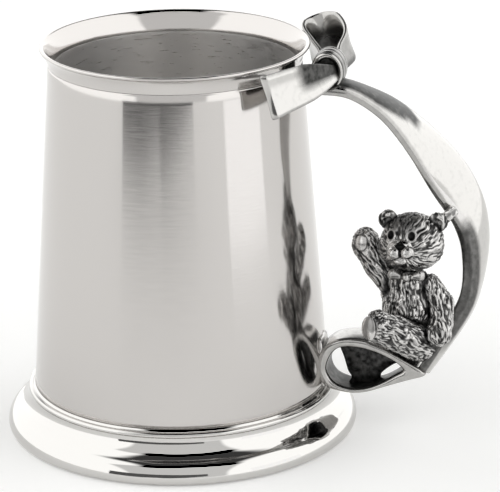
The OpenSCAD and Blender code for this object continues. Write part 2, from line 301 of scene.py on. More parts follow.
def metal(name, colour, roughness, grain=None, anisotropic=0.0, tone=None):
    """Pewter: metal with its own colour and roughness, and a grain in its surface and its sheen."""
    m = bpy.data.materials.new(name)
    m.use_nodes = True
    t = m.node_tree
    t.nodes.clear()
    out = t.nodes.new("ShaderNodeOutputMaterial")
    b = t.nodes.new("ShaderNodeBsdfPrincipled")
    t.links.new(b.outputs[0], out.inputs[0])
    b.inputs["Metallic"].default_value = 1
    b.inputs["Roughness"].default_value = roughness
    b.inputs["Base Color"].default_value = (*colour, 1)
    if anisotropic:
        b.inputs["Anisotropic"].default_value = anisotropic
        b.inputs["Anisotropic Rotation"].default_value = 0.25
        tangent = t.nodes.new("ShaderNodeTangent")
        tangent.direction_type, tangent.axis = "RADIAL", "Z"
        t.links.new(tangent.outputs[0], b.inputs["Tangent"])
    where = t.nodes.new("ShaderNodeTexCoord")

    def pattern(scale, stretch, detail=3):
        mapping = t.nodes.new("ShaderNodeMapping")
        mapping.inputs["Scale"].default_value = stretch
        t.links.new(where.outputs["Object"], mapping.inputs[0])
        tex = t.nodes.new("ShaderNodeTexNoise")
        tex.inputs["Scale"].default_value = scale
        tex.inputs["Detail"].default_value = detail
        t.links.new(mapping.outputs[0], tex.inputs[0])
        return tex.outputs[0]

    def ramp(source, low, high, a=0.0, b=1.0):
        r = t.nodes.new("ShaderNodeMapRange")
        for key, value in (("From Min", low), ("From Max", high), ("To Min", a), ("To Max", b)):
            r.inputs[key].default_value = value
        t.links.new(source, r.inputs[0])
        return r.outputs[0]

    if grain:
        scale, stretch, height, spread = grain
        rough = ramp(pattern(scale, stretch), 0.3, 0.7, roughness * (1 - spread), roughness * (1 + spread))
        t.links.new(rough, b.inputs["Roughness"])
        bump = t.nodes.new("ShaderNodeBump")
        bump.inputs["Strength"].default_value = 1
        bump.inputs["Distance"].default_value = height
        t.links.new(pattern(scale, stretch), bump.inputs["Height"])
        t.links.new(bump.outputs[0], b.inputs["Normal"])
    # The "tone" attribute darkens the colour and raises the roughness: patina in the bear's hollows, and
    # painted shade and painted reflections on the handle, the scroll and the bow
    if tone:
        dark, dark_roughness = tone
        attr = t.nodes.new("ShaderNodeAttribute")
        attr.attribute_name = "tone"
        patina_and_shade = t.nodes.new("ShaderNodeMath")
        patina_and_shade.operation = "MULTIPLY_ADD"
        t.links.new(pattern(900, (1, 1, 1)), patina_and_shade.inputs[0])
        patina_and_shade.inputs[1].default_value = 0.35
        t.links.new(attr.outputs["Fac"], patina_and_shade.inputs[2])
        amount = ramp(patina_and_shade.outputs[0], 0.18, 1.18)
        mix = t.nodes.new("ShaderNodeMix")
        mix.data_type = "RGBA"
        mix.inputs[6].default_value = (*colour, 1)
        mix.inputs[7].default_value = (*dark, 1)
        t.links.new(amount, mix.inputs[0])
        t.links.new(mix.outputs[2], b.inputs["Base Color"])
        t.links.new(ramp(amount, 0, 1, roughness, dark_roughness), b.inputs["Roughness"])
    return m


BRIGHT = metal("brushed_pewter", (0.575, 0.555, 0.54), 0.12, grain=(240, (1, 1, 16), 0.000002, 0.2),
               anisotropic=0.8)
POLISHED = metal("polished_pewter", (0.61, 0.60, 0.585), 0.05, grain=(260, (1, 1, 14), 0.000001, 0.25))
# The inside of the cup and its floor get a much lighter pewter colour than the outside: painted light that
# brightens the inside
SATIN_BRIGHTENED = metal("satin_pewter", (0.90, 0.885, 0.87), 0.33, grain=(300, (1, 1, 14), 0.000001, 0.2),
              anisotropic=0.6)
# cast_pewter's dark colour is painted shade and painted reflection on the handle, the scroll and the bow;
# antiqued_pewter's dark colour is the bear's patina, plus painted shade on the top of its head
CAST = metal("cast_pewter", (0.57, 0.56, 0.545), 0.1, grain=(300, (1, 1, 1), 0.0000003, 0.2),
             tone=((0.03, 0.03, 0.029), 0.35))
ANTIQUE = metal("antiqued_pewter", (0.62, 0.61, 0.60), 0.2, grain=(1500, (1, 1, 1), 0.000008, 0.3),
                tone=((0.01, 0.01, 0.01), 0.45))
SOLDER = metal("solder", (0.55, 0.54, 0.53), 0.2, grain=(700, (1, 1, 1), 0.00001, 0.4))

# ---- Mug ----

LIP_R, NECK_R, BARREL_R, LIP_H, SCORE_H, FOOT_H, FOOT_R = 26.8, 25.2, 30.1, 80.0, 76.2, 9.4, 35.8
WALL = 1.1
LATHE_STEPS = 320


def wall_r(z):
    return NECK_R + (BARREL_R - NECK_R) * (SCORE_H - z) / (SCORE_H - FOOT_H)


flare = spline([[NECK_R - 0.02, SCORE_H], [NECK_R + 0.12, SCORE_H + 0.7], [NECK_R + 0.5, SCORE_H + 1.9],
                [LIP_R - 0.5, LIP_H - 0.9], [LIP_R - 0.1, LIP_H - 0.55]], 5)
barrel_outline = np.vstack([
    [[wall_r(z), z] for z in np.linspace(FOOT_H, SCORE_H - 0.35, 40)],
    [[NECK_R - 0.03, SCORE_H - 0.25], [NECK_R - 0.2, SCORE_H - 0.1], [NECK_R - 0.2, SCORE_H + 0.02]],
    [[NECK_R - 0.04, SCORE_H + 0.12]],
    flare[1:],
    spline([[LIP_R, LIP_H - 0.32], [LIP_R - 0.08, LIP_H - 0.12], [LIP_R - 0.3, LIP_H],
            [LIP_R - 0.65, LIP_H - 0.04], [LIP_R - 0.95, LIP_H - 0.3]], 3),
    spline([[LIP_R - 1.3, LIP_H - 0.8], [NECK_R - 0.5, SCORE_H + 1.6], [NECK_R - WALL + 0.12, SCORE_H + 0.5],
            [NECK_R - WALL, SCORE_H - 0.4]], 5),
    [[wall_r(z) - WALL, z] for z in np.linspace(SCORE_H - 1.2, FOOT_H, 30)],
])
barrel = piece("barrel", *outward(*lathe(barrel_outline, LATHE_STEPS)), BRIGHT, "polished_pewter", ["barrel"])
barrel.data.materials.append(SATIN_BRIGHTENED)
for face in barrel.data.polygons:
    x, y, z = (c / MM for c in face.center)
    if z < SCORE_H - 0.2 and np.hypot(x, y) < wall_r(z) - WALL / 2:
        face.material_index = 1

floor_r = BARREL_R - 1.2
floor_outline = np.array([
    [0, FOOT_H - 1.4], [floor_r - 0.2, FOOT_H - 1.4], [floor_r, FOOT_H - 1.2], [floor_r, FOOT_H - 0.15],
    [floor_r - 0.15, FOOT_H], [floor_r - 3, FOOT_H - 0.12], [12, FOOT_H - 0.25], [11.5, FOOT_H - 0.32],
    [0, FOOT_H - 0.32]])
piece("cup_floor", *outward(*disc(floor_outline)), SATIN_BRIGHTENED, "satin_pewter", ["cup_floor"])

SPREAD = FOOT_R - BARREL_R
# The foot's outline in shares of its spread beyond the barrel and of its height
outer_shares = ((0.63, 0), (0.86, 0.02), (0.965, 0.07), (1, 0.15), (0.99, 0.215), (0.941, 0.308),
                (0.852, 0.389), (0.731, 0.454), (0.576, 0.504), (0.414, 0.574), (0.287, 0.667),
                (0.205, 0.776), (0.18, 0.88), (0.215, 0.92), (0.215, 0.96), (0.17, 0.99), (0.09, 1))
inner_shares = ((-0.09, 0.6), (0.09, 0.45), (0.32, 0.28), (0.44, 0.11))
foot_outer = spline([[BARREL_R + a * SPREAD, b * FOOT_H] for a, b in outer_shares], 6)
foot_inner = [[BARREL_R - 1.2, FOOT_H, 0], [BARREL_R - 1.2, FOOT_H - 1.4, 0.3]]
foot_inner += [[BARREL_R + a * SPREAD, b * FOOT_H, 0.4] for a, b in inner_shares]
foot_outline = np.vstack([foot_outer, filleted(foot_inner + [[BARREL_R + 0.42 * SPREAD, 0, 0]])])
piece("foot_ring", *outward(*lathe(foot_outline, LATHE_STEPS)), POLISHED, "polished_pewter", ["foot_ring"])

fillet = np.array([[BARREL_R - 0.03, FOOT_H - 0.02], [BARREL_R + 0.4, FOOT_H - 0.02],
                   [BARREL_R + 0.38, FOOT_H + 0.06], [BARREL_R + 0.17, FOOT_H + 0.16],
                   [BARREL_R + 0.05, FOOT_H + 0.36], [wall_r(FOOT_H + 0.4) - 0.02, FOOT_H + 0.4]])
piece("foot_solder", *outward(*lathe(fillet, LATHE_STEPS)), POLISHED, "solder", ["foot_solder"])

# ---- Ribbon handle ----

RIBBON_T, RIBBON_CROWN = 2.3, 0.7
SCROLL_X, SCROLL_Z, RIBBON_Z, REACH = wall_r(14.6), 9.6, 73.5, 36.0
DRAWN_REACH, DRAWN_RISE = 36, 64


def on_handle(p):
    """Places for points drawn from the foot of the handle: out, across and up."""
    p = np.asarray(p, float)
    return np.stack([SCROLL_X + p[:, 0] * REACH / DRAWN_REACH + (LIP_R - SCROLL_X) * p[:, 2] / DRAWN_RISE,
                     p[:, 1], SCROLL_Z + p[:, 2] * (RIBBON_Z - SCROLL_Z) / DRAWN_RISE], 1)


near_edge = on_handle([[-3, -4.4, 63.7], [3, -4.4, 64], [8, -4.1, 63.8], [11.5, -2.7, 61.8],
                       [15.5, -1.6, 58.4], [18.5, -1, 54.3], [21.3, -0.7, 49.7], [23.3, 0.1, 45.2],
                       [25.1, 1.8, 40.7], [27.4, 3.6, 36.2], [29.8, 4.6, 31.8], [30.6, 4.2, 28.5],
                       [31, 3.4, 24.2], [30.8, 2.2, 20.5], [29.8, 0.8, 17.6], [27.5, -1, 14],
                       [24.6, -2.8, 9.7], [21.6, -3.8, 5.2]])
far_edge = on_handle([[-3, 4.6, 63.7], [3, 4.6, 64], [7.6, 5.1, 63], [10.8, 8, 61], [14.6, 10.6, 58.8],
                      [18.8, 12.2, 55.5], [23.1, 13, 51.7], [27.1, 13.2, 47.4], [30.3, 13.3, 42.8],
                      [32.6, 13.3, 37.2], [33.5, 13, 31.8], [33.3, 12.4, 27], [32.4, 11.2, 22.5],
                      [31.2, 9.7, 19], [30.2, 8.2, 15.8], [27.8, 6.3, 11.8], [24.8, 4.3, 8], [21, 2.9, 3.6]])
near_line, far_line = spline(near_edge, 8), spline(far_edge, 8)


def smooth_line(p, times):
    p = p.copy()
    for _ in range(times):
        p[1:-1] = 0.25 * p[:-2] + 0.5 * p[1:-1] + 0.25 * p[2:]
    return p


near_line, far_line = smooth_line(near_line, 20), smooth_line(far_line, 20)
steps = len(near_line)
middle = 0.5 * (near_line + far_line)
keep = [i for i in range(steps) if middle[i][0] > wall_r(middle[i][2]) - 1]
RIBBON_RING = 56
ring_k = np.arange(RIBBON_RING) / RIBBON_RING * 2 * np.pi
ribbon_rings, ribbon_shade = [], []
for i in keep:
    n, f = near_line[i], far_line[i]
    lo, hi = max(i - 2, 0), min(i + 2, steps - 1)
    along = near_line[hi] + far_line[hi] - near_line[lo] - far_line[lo]
    across = unit(f - n)
    out = unit(np.cross(along, across))
    c, s = np.cos(ring_k), np.sin(ring_k)
    x, y = squared(c, 0.5), squared(s, 0.55)
    half_w = np.linalg.norm(f - n) / 2
    crown = RIBBON_CROWN * (1 - x * x)
    thick = 1 + 0.35 * smoothstep(47, 40, (n + f)[2] / 2) * smoothstep(16, 24, (n + f)[2] / 2)
    lift = RIBBON_T / 2 * thick * (y - 1) + crown
    ribbon_rings.append((n + f) / 2 + np.outer(x * half_w, across) + np.outer(lift, out))
    inner = smoothstep(0.2, -0.9, y) * smoothstep(1.0, 0.55, np.abs(x))
    mid = (n + f) / 2
    low = smoothstep(50, 36, mid[2])
    # Painted reflection and painted shade: a dark tongue on the upper face beside the bow, and dark under the
    # ribbon, along its near side and on its near flank
    spread = 0.95 * smoothstep(51, 40, mid[0]) * smoothstep(60, 66, mid[2])
    tongue_reflection = smoothstep(spread + 0.2, spread - 0.1, np.abs(x - 0.15)) * smoothstep(-0.1, 0.4, y)
    near_side_shade = smoothstep(-0.86, -0.95, x) * (0.35 + 0.45 * low)
    flank_shade = 0.85 * smoothstep(-0.3, -0.62, x) * smoothstep(46, 42, mid[2]) * smoothstep(17, 22, mid[2])
    ribbon_shade.append(np.max([inner * (0.4 + 0.5 * low), tongue_reflection * smoothstep(0.02, 0.15, spread),
                               near_side_shade, flank_shade], 0))
piece("handle_ribbon", *outward(*tube(ribbon_rings)), CAST, "cast_pewter", ["handle_ribbon"],
      tone=np.append(np.concatenate(ribbon_shade), [0.3, 0.3]))

# ---- Scroll ----

scroll_outer = [[-1, 4.9], [-0.5, 2.6], [0.6, 1], [3.1, 0.1], [6.5, -0.2], [9.6, 0.3], [13.6, 1.8],
                [17.9, 3.3], [20.9, 4.3], [21, 5.2], [19.3, 6.4], [16.4, 8], [13.6, 9.5], [10.8, 10.6],
                [9, 11.3], [6, 11.5], [3.1, 11], [0.9, 9.7], [-0.6, 7.5]]
scroll_inner = [[1.1, 4.6], [1.7, 7], [3.1, 8.9], [5.1, 9.6], [8, 9.5], [10.8, 8.9], [13.6, 7.8],
                [15.3, 6.7], [16.4, 5.3], [14.7, 4], [12.2, 2.4], [9.6, 1.2], [6.5, 0.7], [3.7, 1.3],
                [2, 2.5]]
SCROLL_NEAR, SCROLL_W = -4.0, 7.5
outer = even(spline(scroll_outer, 8, True), 180, True)
inner = even(spline(scroll_inner, 8, True), 180, True)
# The inner outline starts at its point nearest the outer one's start
inner = np.roll(inner, -np.argmin(np.linalg.norm(inner - outer[0], axis=1)), 0)


def area(p):
    return 0.5 * np.sum(p[:, 0] * np.roll(p[:, 1], -1) - np.roll(p[:, 0], -1) * p[:, 1])


if area(inner) * area(outer) < 0:
    inner = np.roll(inner[::-1], 1, 0)
scroll_rings = []
for o, i in zip(outer, inner):
    mid, half = (o + i) / 2, (o - i) / 2
    ring = []
    for a in np.arange(20) / 20 * 2 * np.pi:
        x, y = squared(np.cos(a), 0.5), squared(np.sin(a), 0.3)
        q = mid + half * x
        narrow = 2.4 * smoothstep(8, 14, q[0]) * smoothstep(6, 4, q[1])
        ring.append([SCROLL_X + q[0], SCROLL_NEAR + (SCROLL_W - narrow) * (0.5 + 0.5 * y), SCROLL_Z + q[1]])
    scroll_rings.append(np.array(ring))
scroll_v, scroll_f = outward(*tube(scroll_rings, closed=True))
# Painted shade round the inside of the scroll's eye, darkest away from its near face; elsewhere an even tone
# of 0.26
eye_shade = np.zeros(len(scroll_v))
for n, p in enumerate(scroll_v):
    r = np.linalg.norm((inner + [SCROLL_X, SCROLL_Z]) - p[[0, 2]], axis=1).min()
    eye_shade[n] = max(0.26, smoothstep(0.5, 0.1, r) * smoothstep(-3.95, -2.6, p[1]))
piece("handle_scroll", scroll_v, scroll_f, CAST, "cast_pewter", ["handle_scroll"], tone=eye_shade)

web = [[3.4, 9.5], [5, 9.8], [8, 9.7], [10.8, 9.1], [13.6, 8], [15.6, 6.9], [16.2, 6.2], [14.2, 5.2],
       [12.6, 4], [11.6, 2.9], [11.4, 1.6], [11.2, 0.6], [9, 0.4], [6.5, 0.3], [5, 0.5], [5.6, 1.9],
       [4.9, 3.2], [4.4, 4.9], [3.9, 6.6], [3.3, 8.2]]
web = even(spline(web, 6, True), 120, True)
web_mid = web.mean(0)
web_rings = []
for depth, shrink in ((0, 0.0), (0, 0.94), (0.18, 1), (1.1, 1), (1.3, 0.95), (1.3, 0.0)):
    q = web_mid + (web - web_mid) * max(shrink, 1e-3)
    web_rings.append(np.stack([SCROLL_X + q[:, 0], np.full(len(q), -0.25 + depth), SCROLL_Z + q[:, 1]], 1))
web_v, web_f = outward(*tube(web_rings))
piece("scroll_web", web_v, web_f, ANTIQUE, "antiqued_pewter", ["scroll_web"], tone=np.full(len(web_v), 0.95))

# ---- Solder ----

def solder_wedge(name, node, outline, y0, y1):
    o = even(spline(outline, 6, True), 60, True)
    rings = []
    for y, k in ((y0, 0.5), (y0 + 0.25, 0.9), (y0 + 0.8, 1), (y1 - 0.8, 1), (y1 - 0.25, 0.9), (y1, 0.5)):
        q = o.mean(0) + (o - o.mean(0)) * k
        rings.append(np.stack([q[:, 0], np.full(len(q), y), q[:, 1]], 1))
    v, f = outward(*tube(rings))
    return piece(name, v, f, SOLDER, "solder", node)


root_x = wall_r(RIBBON_Z)
solder_wedge("upper_solder", ["upper_solder"],
             [[root_x - 0.3, RIBBON_Z - 3.4], [root_x + 0.9, RIBBON_Z - 2.7], [root_x + 1.2, RIBBON_Z - 1],
              [root_x + 0.9, RIBBON_Z + 0.7], [root_x - 0.3, RIBBON_Z + 1]], -5.2, 5.2)
solder_wedge("lower_solder", ["lower_solder"],
             [[SCROLL_X - 0.3, SCROLL_Z + 0.6], [SCROLL_X + 0.6, SCROLL_Z + 1.1],
              [SCROLL_X + 0.3, SCROLL_Z + 5], [SCROLL_X + 0.3, SCROLL_Z + 9.6],
              [SCROLL_X - 0.6, SCROLL_Z + 10.2]], -3.5, 3.0)

# ---- Bow ----

BOW_T, BOW_LEAN = 1.1, np.radians(16)
KNOT = vec(LIP_R + 0.5 + 3.6, 0, LIP_H - 4.2)


def lean_back(p):
    c, s = np.cos(-BOW_LEAN), np.sin(-BOW_LEAN)
    x, z = p[:, 0] * c + p[:, 2] * s, -p[:, 0] * s + p[:, 2] * c
    return KNOT + np.stack([x, p[:, 1], z], 1)


def bow_loop(name, plan, side, dish, patina_and_shade):
    """A strip folded into a loop: its plan from above, [y, low, high] from the side, a dish and its painted
    shade.
    """
    line = even(spline(plan, 10, True), 150, True)
    if area(line) < 0:
        line = line[::-1]
    ahead = np.roll(line, -1, 0) - np.roll(line, 1, 0)
    out = unit(np.stack([ahead[:, 1], -ahead[:, 0]], 1))
    side = sorted(side)
    rings, tones = [], []
    for p, n in zip(line, out):
        low = np.interp(p[1], [s[0] for s in side], [s[1] for s in side])
        high = np.interp(p[1], [s[0] for s in side], [s[2] for s in side])
        ring = []
        for a in np.arange(32) / 32 * 2 * np.pi:
            w, t = squared(np.sin(a), 0.35), squared(np.cos(a), 0.6)
            shift = BOW_T * 0.5 * (t - 1) - dish * (1 - w * w) * smoothstep(1.5, 5, abs(p[1]))
            q = p + n * shift
            ring.append([q[0], q[1], (low + high) / 2 + w * (high - low) / 2])
            tones.append(patina_and_shade(abs(p[1]), w, n[0], t))
        rings.append(lean_back(np.array(ring)))
    v, f = outward(*tube(rings, closed=True))
    return piece(name, v, f, CAST, "cast_pewter", [name], tone=tones)


def near_loop_shade(y, w, facing, t):
    """Painted shade: dark in the upper hollow of the front face, on the inside of the loop, along its edges
    and at the neck.
    """
    hollow = smoothstep(15.5, 12.5, y) * smoothstep(-0.5, -0.2, w + 0.1 - 0.02 * y) * (t > 0) * (facing > 0)
    inside = 0.55 * (t < 0)
    tip = smoothstep(19.6, 20.2, y) * smoothstep(-0.6, -0.9, facing)
    edge = 0.45 * smoothstep(0.8, 1.0, abs(w)) + 0.35 * tip
    return max(0.95 * hollow, inside, edge, 0.7 * smoothstep(4.5, 3.0, y))


def far_loop_shade(y, w, facing, t):
    """Painted shade: dark in the low half of the cup that the loop makes, over the lower outside and at the
    neck.
    """
    band = 0.35 + 0.5 * smoothstep(-0.3, -0.8, w)
    return max((t < 0) * (0.25 + 0.7 * smoothstep(0.3, -0.4, w)), (t >= 0) * band,
               0.6 * smoothstep(4.5, 3.0, y))


bow_loop("bow_loop_near", [[2.2, -1], [2.2, -3], [0.9, -8], [-1.6, -13], [-5, -18], [-6.4, -20.2],
                           [-6.9, -20.75], [-8.1, -20.85], [-8.45, -20.4], [-8.3, -18.8], [-5.8, -13.5],
                           [-3.8, -9], [-1.5, -3], [-1.2, -1]],
         [[-23, -2.6, 6.6], [-12, -2.7, 4.7], [-3, -1.9, 1.3], [0, -1.7, 1]], 0.35, near_loop_shade)
bow_loop("bow_loop_far", [[2.2, 1], [2.7, 4], [3.6, 9], [2.8, 13.4], [0.6, 17.6], [-2.4, 19.6], [-5.6, 18.6],
                          [-7, 15.6], [-5, 10.4], [-2.6, 5], [-1.2, 1]],
         [[0, -1.7, 1.2], [5, -1.7, 3.6], [12, -1.5, 5.6], [17, -1, 7.3], [23, -0.6, 7.9]], 0.4, far_loop_shade)

# The knot is an oval band wrapped round the bow: a bead at each rim, two creases, and a hollow that takes
# the loops. Each point: place across, share of the knot's radius, tone.
KNOT_W, KNOT_H = 3.4, 4.15
# The tone column is painted shade: dark in the hollow and in the creases, none on the beads
knot_profile = [[-1.6, 0.02, 1], [-1.7, 0.62, 1], [-2.5, 0.7, 0.9], [-2.8, 0.76, 0.2], [-2.9, 0.85, 0],
                [-2.8, 0.92, 0.1], [-2.45, 0.95, 0.5], [-2.05, 0.93, 1], [-1.8, 0.96, 0.7],
                [-1.2, 0.985, 0.5], [-0.6, 0.985, 0.6], [-0.4, 0.96, 1], [-0.2, 0.985, 0.7],
                [0.5, 1, 0.5], [1.2, 0.99, 0.5], [1.5, 0.965, 0.9], [1.8, 0.985, 0.5], [2.4, 0.97, 0.4],
                [2.8, 0.9, 0.5], [2.9, 0.8, 0.6], [2.5, 0.7, 0.9], [1.7, 0.62, 1], [1.6, 0.02, 1]]
knot_curve = spline(knot_profile, 4)
knot_rings, knot_shade = [], []
for y, r, dark in knot_curve:
    a = np.arange(72) / 72 * 2 * np.pi
    knot_rings.append(KNOT + np.stack([KNOT_W * r * np.cos(a), np.full(72, np.clip(y, -2.9, 2.9)),
                                       KNOT_H * r * np.sin(a)], 1))
    knot_shade.append(np.full(72, dark))
knot_v, knot_f = outward(*tube(knot_rings))
piece("bow_knot", knot_v, knot_f, CAST, "cast_pewter", ["bow_knot"],
      tone=np.clip(np.append(np.concatenate(knot_shade), [1, 1]), 0, 1))

# ---- Bear ----

SEAT = vec(SCROLL_X + 17.2, 0, SCROLL_Z + 6.2)
STEP, FINE_STEP, FINEST_STEP = 0.13, 0.12, 0.1
# The scroll is measured only below SCROLL_TOP, from every third point of its outline
SCROLL_TOP, OUTLINE_STEP, FAR_AWAY = 14, 3, 9.0


def torso(p):
    d = ellipsoid(p, (-0.4, 0.5, 11.4), (5.0, 4.4, 5.6))
    d = join(d, ellipsoid(p, (-0.3, 0.7, 16.4), (4.2, 3.7, 3.6)), 1.5)
    d = join(d, ellipsoid(p, (1.0, 0.3, 5.4), (5.2, 4.4, 3.9)), 1.5)
    return join(d, ellipsoid(p, (2.4, 0.0, 1.4), (3.0, 3.3, 2.6)), 1.2)


def skull(p):
    d = ellipsoid(p, (0.5, 1.5, 25.4), (6.2, 5.3, 5.2))
    d = join(d, ellipsoid(p, (0.3, 0.2, 23.4), (6.1, 4.6, 3.9)), 1.6)
    return d


def muzzle(p):
    d = ellipsoid(p, (-0.9, -3.2, 24.6), (3.1, 1.9, 2.4))
    d = join(d, ellipsoid(p, (-2.2, -4.6, 24.3), (1.45, 1.5, 1.3)), 0.15)
    d = join(d, ellipsoid(p, (0.35, -4.7, 24.5), (1.5, 1.5, 1.35)), 0.15)
    d = join(d, ellipsoid(p, (-1.0, -4.5, 25.75), (1.2, 0.85, 0.6)), 0.2)
    return join(d, ellipsoid(p, (-1.1, -4.1, 22.5), (1.4, 0.9, 0.75)), 0.3)


def ear(p, x):
    d = ellipsoid(p, (x, 1.4, 29.2), (2.0, 1.1, 2.0))
    return cut(d, ellipsoid(p, (x - 0.1, 0.1, 29.1), (1.25, 0.9, 1.25)), 0.3)


def ears(p):
    return np.minimum(ear(p, -4.4), ear(p, 5.6))


def raised_arm(p):
    d = cone(p, (-3.2, 1.4, 15.2), (-6.6, 2.8, 18.8), 2.7, 2.6)
    d = join(d, cone(p, (-6.6, 2.8, 18.8), (-9.0, 3.8, 22.2), 2.6, 2.7), 0.8)
    return join(d, ellipsoid(p, (-9.3, 3.6, 23.4), (2.7, 2.7, 3.0)), 1.0)


def lowered_arm(p):
    d = cone(p, (4.2, 0.4, 16.2), (6.6, -0.2, 12.6), 2.2, 2.3)
    d = join(d, cone(p, (6.6, -0.2, 12.6), (7.0, -2.0, 9.2), 2.3, 2.2), 0.8)
    return join(d, ellipsoid(p, (6.4, -3.4, 7.2), (2.6, 2.4, 2.3)), 0.8)


def near_leg(p):
    d = cone(p, (2.4, -1.8, 4.6), (-1.8, -7.0, 8.4), 3.7, 3.2)
    d = join(d, cone(p, (-1.8, -7.0, 8.4), (-4.2, -10.2, 10.8), 3.2, 2.9), 0.8)
    return join(d, ellipsoid(p, (-4.6, -10.4, 11.0), (2.5, 2.4, 3.0)), 0.8)


def far_leg(p):
    d = cone(p, (2.0, 2.4, 5.0), (-2, 7.2, 8.2), 3.4, 2.9)
    return join(d, cone(p, (-2, 7.2, 8.2), (-4.6, 10.2, 10.2), 2.9, 2.7), 0.8)


SOLES = (((-6.0, -12.5, 11.1), (-0.62, -0.77, 0.1)), ((-6.0, 12.2, 10.6), (-0.62, 0.77, 0.1)))


def sole(p, centre, facing):
    n = unit(vec(*facing))
    side = unit(np.cross(n, [0, 0, 1]))
    up = np.cross(side, n)
    q = p - vec(*centre)
    return ellipsoid(np.stack([q @ n, q @ side, q @ up], -1), (0, 0, 0), (0.75, 1.85, 2.45))


def soles(p):
    return np.minimum(*(sole(p, *s) for s in SOLES))


def tie(p):
    d = ellipsoid(p, (0.1, -4.7, 19.3), (0.75, 0.8, 0.8))
    for side in (-1, 1):
        d = join(d, cone(p, (0.1 + side * 1.1, -4.5, 19.3), (0.1 + side * 2.6, -4.1, 19.6), 0.4, 1.15), 0.1)
    return d


def tie_creases(v):
    """Dark between the tie's knot and its loops, and in the folds of the loops."""
    x = np.abs(v[:, 0] - 0.1)
    fold = smoothstep(0.3, 0.1, np.abs(v[:, 2] - 19.5)) * smoothstep(1.2, 1.6, x) * smoothstep(3.4, 2.6, x)
    knot_edge = smoothstep(0.24, 0.08, np.abs(x - 0.95))
    return np.zeros(len(v)), np.maximum(0.9 * knot_edge, 0.8 * fold), np.ones(len(v))


EYES = ((-3.3, -2.3, 27.2), (1.0, -3.3, 27.5))
NOSE = ((-1.05, 25.85), (1.2, 0.9))
MOUTH = [(-1.0, 25.4), (-1.0, 23.6)]
LIP = [(-3.4, 23.3), (-2.3, 22.95), (-1.05, 23.6), (0.1, 23.25), (1.4, 24.0)]


def line_distance(p, points):
    """Distance to a drawn line, seen from the front."""
    q = p[:, [0, 2]]
    d = np.full(len(p), 99.0)
    for a, b in zip(points[:-1], points[1:]):
        a, b = vec(*a), vec(*b)
        t = np.clip(((q - a) @ (b - a)) / ((b - a) @ (b - a)), 0, 1)
        d = np.minimum(d, np.linalg.norm(q - a - t[:, None] * (b - a), axis=1))
    return d


def eyes(p):
    return np.minimum(*(ellipsoid(p, e, (0.72, 1.2, 0.85)) for e in EYES))


def fur(p, axis_from, axis_to, seed, width=0.24, length=1.1):
    """Tooled strokes that run along an axis, from -1 in the grooves to 1 on the tufts."""
    a, b = vec(*axis_from), vec(*axis_to)
    w = unit(b - a)
    u = unit(np.cross(w, [0.31, 0.2, 0.93]))
    v = np.cross(w, u)
    q = p - a
    s = q @ w
    x, y = q @ u + 0.45 * noise(p / 1.9, seed + 5), q @ v + 0.45 * noise(p / 1.9, seed + 9)
    n = noise(np.stack([x / width, y / width, s / length], -1), seed)
    m = noise(np.stack([x / (width * 2.1), y / (width * 2.1), s / length], -1), seed + 3)
    return np.clip(1.7 * n + 0.45 * m, -1, 1)


def fur_head(p, seed=40):
    """Strokes that spread from the muzzle over the head."""
    c, front = vec(0.5, 1.5, 25.2), unit(vec(-0.15, -0.97, -0.12))
    q = unit(p - c)
    s = np.arccos(np.clip(q @ front, -1, 1)) * 5.6
    u = unit(np.cross(front, [0, 0, 1]))
    v = np.cross(u, front)
    ring = np.stack([q @ u, q @ v], -1)
    ring = ring / np.maximum(np.linalg.norm(ring, axis=-1, keepdims=True), 1e-6)
    sway = 0.35 * noise(p / 1.8, seed + 7)
    ring = ring * 4.6 + sway[:, None]
    n = noise(np.stack([ring[:, 0] / 0.24, ring[:, 1] / 0.24, s / 1.0], -1), seed)
    m = noise(np.stack([ring[:, 0] / 0.5, ring[:, 1] / 0.5, s / 1.3], -1), seed + 3)
    return np.clip(1.7 * n + 0.4 * m, -1, 1)


def bear_piece(name, shape, lo, hi, strokes, height, carve=(), crease=(), base=0.0, extra=None, step=STEP):
    """One sculpted part of the bear: its field less its neighbours', then the strokes as relief."""
    def field(p):
        d = shape(p)
        for other in carve:
            d = np.maximum(d, -other(p) + 0.02)
        return d
    v, f, n = sculpt(field, lo, hi, step)
    tone = np.full(len(v), base)
    dark = np.zeros(len(v))
    for other in crease:
        dark = np.maximum(dark, 0.97 * smoothstep(1.4, 0.2, other(v)))
    relief = strokes(v) if strokes else np.zeros(len(v))
    gap = np.min([np.abs(other(v)) for other in carve], 0) if carve else np.full(len(v), FAR_AWAY)
    calm = 1 - smoothstep(0.35, 0.0, gap)
    if extra:
        push, patina_and_shade, smooth = extra(v)
        relief = relief * smooth + 0.55 * (1 - smooth)
        v = v + n * push[:, None]
        dark = np.maximum(dark, patina_and_shade)
    v = v + n * (height * relief * calm)[:, None]
    tone = tone + 0.5 + 0.45 * smoothstep(0.2, -0.5, relief) - 0.48 * smoothstep(0.1, 0.7, relief)
    tone = np.clip(np.maximum(tone, dark), 0, 1)
    faces = [tuple(int(i) for i in q) for q in f]
    return piece(name, v + SEAT, faces, ANTIQUE, "antiqued_pewter", [name], tone=tone)


